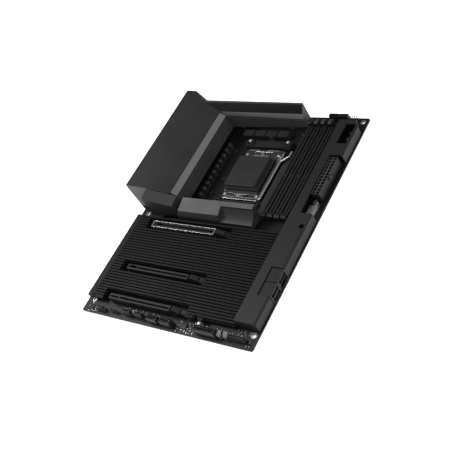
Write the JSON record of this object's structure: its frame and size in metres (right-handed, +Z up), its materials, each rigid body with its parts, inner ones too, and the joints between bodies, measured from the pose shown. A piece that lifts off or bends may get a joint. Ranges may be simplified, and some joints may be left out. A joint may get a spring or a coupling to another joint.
{
  "type": "motherboard",
  "caption": "Computer motherboard with processor socket, memory and card slots, finned heatsinks and full black covers.",
  "frame": {"origin": "centre of the bounding box at its bottom, under the board", "axes": "+X from the rear ports towards the memory edge, +Y towards the top edge, +Z up from the component side"},
  "size_m": [0.2468, 0.305, 0.0488],
  "materials": {
    "board": "satin black solder mask",
    "cover": "satin black coating",
    "ribs": "satin black coating",
    "plastic": "moulded black",
    "cap": "moulded dark grey",
    "steel": "bright pressed steel",
    "shield": "pressed steel",
    "latch": "moulded light grey"
  },
  "bodies": {
    "board": {"pcb": "board", "io_cover": "cover", "m2_cover_centre": "cover", "edge_strip": "cover", "side_plate": "cover", "capacitor_row": "cover", "m2_cover_upper": "ribs", "m2_cover_middle": "ribs", "m2_cover_lower": "ribs", "vrm_heatsink_rear": "ribs", "vrm_heatsink_top": "ribs", "socket_body": "plastic", "cooler_bracket_top": "plastic", "cooler_bracket_bottom": "plastic", "dimm_slot_1": "plastic", "dimm_slot_2": "plastic", "dimm_slot_3": "plastic", "dimm_slot_4": "plastic", "pcie_slot_1": "plastic", "pcie_slot_2": "plastic", "pcie_slot_3": "plastic", "atx_power_24pin": "plastic", "eps_power_1": "plastic", "eps_power_2": "plastic", "sata_block_1": "plastic", "sata_block_2": "plastic", "bottom_headers": "plastic", "usb3_header": "plastic", "panel_header": "plastic", "top_headers": "plastic", "control_base": "plastic", "audio_jacks": "plastic", "rear_button_block": "plastic", "power_stages_rear": "plastic", "chokes_top": "plastic", "cpu_backplate": "steel", "solder_tails_ports": "steel", "solder_tails_headers": "steel", "socket_frame": "steel", "pcie_armour_1": "steel", "usb_stack_1": "shield", "usb_stack_2": "shield", "display_ports": "shield", "network_port": "shield", "port_shield": "shield", "usb_c_header": "shield"},
    "load_plate": {"load_plate": "steel"},
    "socket_cap": {"socket_cap": "cap"},
    "socket_lever": {"socket_lever": "steel"},
    "pcie_latch_1": {"pcie_latch_1": "plastic"},
    "pcie_latch_2": {"pcie_latch_2": "plastic"},
    "pcie_latch_3": {"pcie_latch_3": "plastic"},
    "dimm_latch_1": {"dimm_latch_1": "latch"},
    "dimm_latch_2": {"dimm_latch_2": "latch"},
    "dimm_latch_3": {"dimm_latch_3": "latch"},
    "dimm_latch_4": {"dimm_latch_4": "latch"},
    "power_button": {"power_button": "latch"},
    "reset_button": {"reset_button": "latch"},
    "clear_button": {"clear_button": "latch"},
    "update_button": {"update_button": "latch"}
  },
  "joints": [
    {"name": "lever_hinge", "type": "hinge", "parent": "board", "child": "socket_lever", "pos_m": [0.01235, 0.0224, 0.0094], "axis": [1, 0, 0], "range_deg": [0, 110]},
    {"name": "load_plate_hinge", "type": "hinge", "parent": "board", "child": "load_plate", "pos_m": [0.01235, 0.091, 0.0093], "axis": [-1, 0, 0], "range_deg": [0, 105]},
    {"name": "cap_lift", "type": "slide", "parent": "load_plate", "child": "socket_cap", "axis": [0, 0, 1], "range_m": [0, 0.012]},
    {"name": "pcie_latch_1_hinge", "type": "hinge", "parent": "board", "child": "pcie_latch_1", "pos_m": [0.01315, -0.0306, 0.0084], "axis": [0, 1, 0], "range_deg": [0, 30]},
    {"name": "pcie_latch_2_hinge", "type": "hinge", "parent": "board", "child": "pcie_latch_2", "pos_m": [0.01315, -0.0916, 0.0084], "axis": [0, 1, 0], "range_deg": [0, 30]},
    {"name": "pcie_latch_3_hinge", "type": "hinge", "parent": "board", "child": "pcie_latch_3", "pos_m": [0.01315, -0.1322, 0.0084], "axis": [0, 1, 0], "range_deg": [0, 30]},
    {"name": "dimm_latch_1_hinge", "type": "hinge", "parent": "board", "child": "dimm_latch_1", "pos_m": [0.05865, 0.1334, 0.008], "axis": [-1, 0, 0], "range_deg": [0, 35]},
    {"name": "dimm_latch_2_hinge", "type": "hinge", "parent": "board", "child": "dimm_latch_2", "pos_m": [0.06775, 0.1334, 0.008], "axis": [-1, 0, 0], "range_deg": [0, 35]},
    {"name": "dimm_latch_3_hinge", "type": "hinge", "parent": "board", "child": "dimm_latch_3", "pos_m": [0.07685, 0.1334, 0.008], "axis": [-1, 0, 0], "range_deg": [0, 35]},
    {"name": "dimm_latch_4_hinge", "type": "hinge", "parent": "board", "child": "dimm_latch_4", "pos_m": [0.08595, 0.1334, 0.008], "axis": [-1, 0, 0], "range_deg": [0, 35]},
    {"name": "power_button_press", "type": "slide", "parent": "board", "child": "power_button", "axis": [0, 0, -1], "range_m": [0, 0.0008], "stiffness_N_per_m": 400},
    {"name": "reset_button_press", "type": "slide", "parent": "board", "child": "reset_button", "axis": [0, 0, -1], "range_m": [0, 0.0008], "stiffness_N_per_m": 400},
    {"name": "clear_button_press", "type": "slide", "parent": "board", "child": "clear_button", "axis": [1, 0, 0], "range_m": [0, 0.0008], "stiffness_N_per_m": 400},
    {"name": "update_button_press", "type": "slide", "parent": "board", "child": "update_button", "axis": [1, 0, 0], "range_m": [0, 0.0008], "stiffness_N_per_m": 400}
  ]
}
